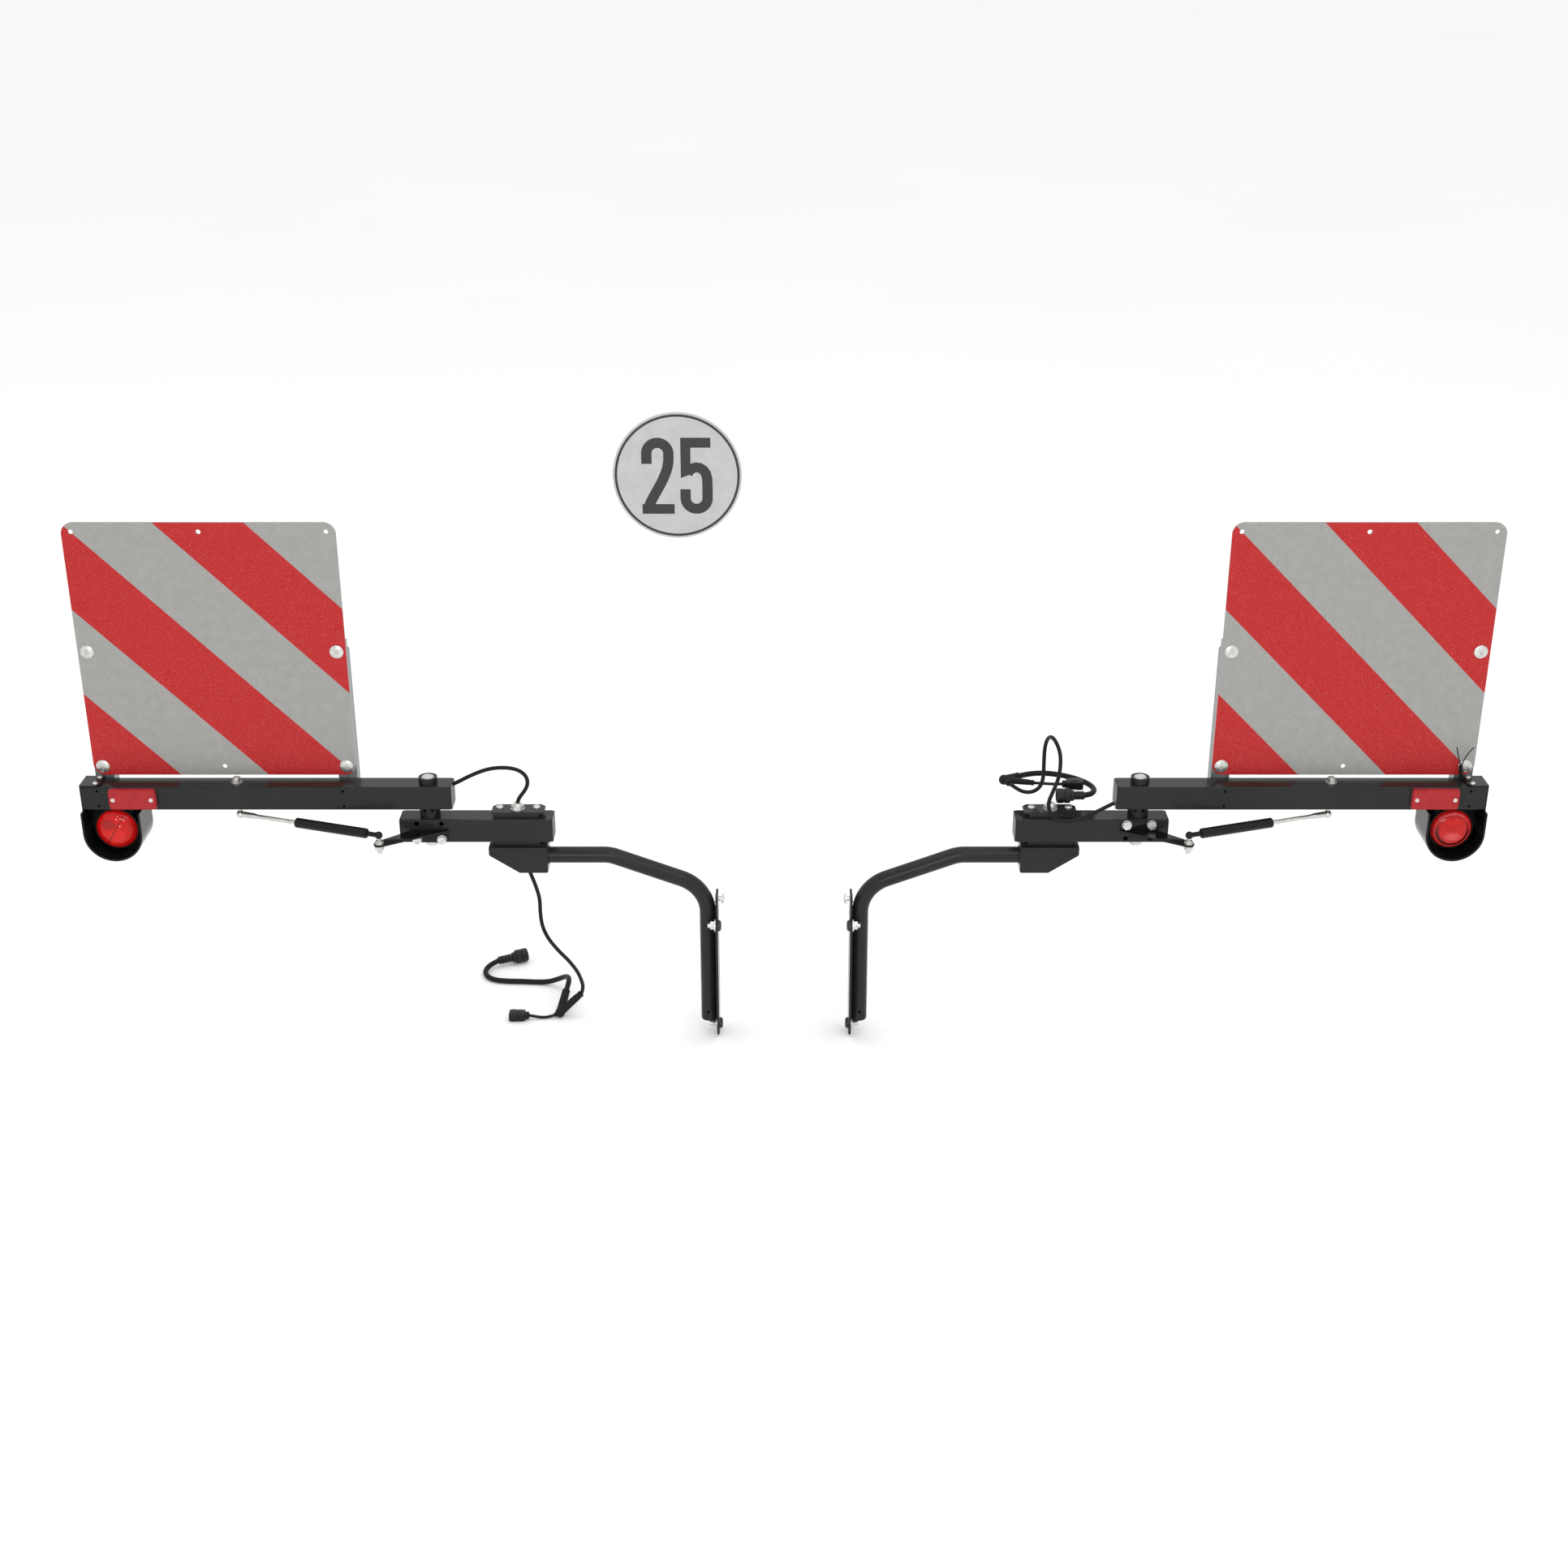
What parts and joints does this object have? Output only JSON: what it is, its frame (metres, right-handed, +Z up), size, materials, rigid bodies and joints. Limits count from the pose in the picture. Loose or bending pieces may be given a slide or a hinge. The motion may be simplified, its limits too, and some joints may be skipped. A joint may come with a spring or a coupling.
{
  "type": "folding warning board bracket set",
  "caption": "Handed pair of folding brackets with striped warning boards, rear lamps, reflectors and gas struts, bolted to a machine, with a round speed plate.",
  "frame": {"origin": "on the machine's centreline, in the beams' centre plane, at the height of the middle of the mounting plates' upper part", "axes": "+X to the right-hand board seen from the striped side, +Y away from the viewer of the stripes, +Z up"},
  "size_m": [2.257, 0.3415, 1.0488],
  "materials": {
    "powder_black": "satin",
    "gloss_black": "gloss",
    "zinc": "satin",
    "galvanised": "matt",
    "rubber_black": "matt",
    "plastic_black": "satin",
    "board_film": "gloss",
    "lens_red": "gloss",
    "reflector_red": "gloss",
    "disc_film": "satin",
    "rod_steel": "polished",
    "strut_black": "satin"
  },
  "bodies": {
    "root": {"left_support_tube": "powder_black", "right_support_tube": "powder_black", "left_mount_plate": "powder_black", "right_mount_plate": "powder_black", "mount_bolts": "zinc", "left_clamp_channel": "powder_black", "right_clamp_channel": "powder_black", "clamp_plates": "powder_black", "clamp_bolts": "zinc", "left_inner_beam": "powder_black", "right_inner_beam": "powder_black", "inner_end_caps": "plastic_black", "pivot_collars": "plastic_black", "pivot_bolts": "zinc", "left_lever_bracket": "powder_black", "right_lever_bracket": "powder_black", "lever_bolts": "zinc", "lever_ball_studs": "zinc", "cable_glands": "zinc", "left_jumper_cable": "rubber_black", "right_loop_cable": "rubber_black", "left_harness_cable": "rubber_black", "left_thick_branch": "rubber_black", "right_thick_branch": "rubber_black", "left_thin_lead": "rubber_black", "right_thin_lead": "rubber_black", "harness_y_blocks": "rubber_black", "round_plugs": "plastic_black", "flat_plugs": "plastic_black", "speed_disc": "disc_film"},
    "left_arm": {"left_outer_beam": "powder_black", "left_beam_cap": "plastic_black", "left_hinge_bush": "plastic_black", "left_warning_board": "board_film", "left_board_brackets": "galvanised", "left_board_bolts": "zinc", "left_lamp_hood": "gloss_black", "left_lamp_housing": "rubber_black", "left_lamp_lens": "lens_red", "left_reflector": "reflector_red", "left_trim_screws": "zinc", "left_stud_nut": "zinc"},
    "right_arm": {"right_outer_beam": "powder_black", "right_beam_cap": "plastic_black", "right_hinge_bush": "plastic_black", "right_warning_board": "board_film", "right_board_brackets": "galvanised", "right_board_bolts": "zinc", "right_lamp_hood": "gloss_black", "right_lamp_housing": "rubber_black", "right_lamp_lens": "lens_red", "right_reflector": "reflector_red", "right_trim_screws": "zinc", "right_stud_nut": "zinc", "right_pigtail": "rubber_black"},
    "left_strut_cylinder_body": {"left_strut_cylinder": "strut_black"},
    "right_strut_cylinder_body": {"right_strut_cylinder": "strut_black"},
    "left_strut_rod_body": {"left_strut_rod": "rod_steel"},
    "right_strut_rod_body": {"right_strut_rod": "rod_steel"}
  },
  "joints": [
    {"name": "left_fold", "type": "hinge", "parent": "root", "child": "left_arm", "pos_m": [-0.5726, 0, 0.2421], "axis": [0, 0, 1], "range_deg": [0, 90], "deforming": ["left_jumper_cable"]},
    {"name": "left_strut_swing", "type": "hinge", "parent": "root", "child": "left_strut_cylinder_body", "pos_m": [-0.6446, -0.072, 0.2019], "axis": [0, 0, 1], "range_deg": [0, 125]},
    {"name": "left_strut_slide", "type": "slide", "parent": "left_strut_cylinder_body", "child": "left_strut_rod_body", "axis": [-0.9562, 0.2921, 0.0174], "range_m": [-0.06, 0], "stiffness_N_per_m": 800, "springref_m": 0.12},
    {"name": "right_fold", "type": "hinge", "parent": "root", "child": "right_arm", "pos_m": [0.5726, 0, 0.2421], "axis": [0, 0, -1], "range_deg": [0, 90], "deforming": ["right_loop_cable"]},
    {"name": "right_strut_swing", "type": "hinge", "parent": "root", "child": "right_strut_cylinder_body", "pos_m": [0.6446, -0.072, 0.2019], "axis": [0, 0, -1], "range_deg": [0, 125]},
    {"name": "right_strut_slide", "type": "slide", "parent": "right_strut_cylinder_body", "child": "right_strut_rod_body", "axis": [0.9562, 0.2921, 0.0174], "range_m": [-0.06, 0], "stiffness_N_per_m": 800, "springref_m": 0.12}
  ],
  "couplings": [
    {"joint": "left_strut_swing", "follows": "left_fold", "ratio": 1.3775},
    {"joint": "right_strut_swing", "follows": "right_fold", "ratio": 1.3775}
  ]
}
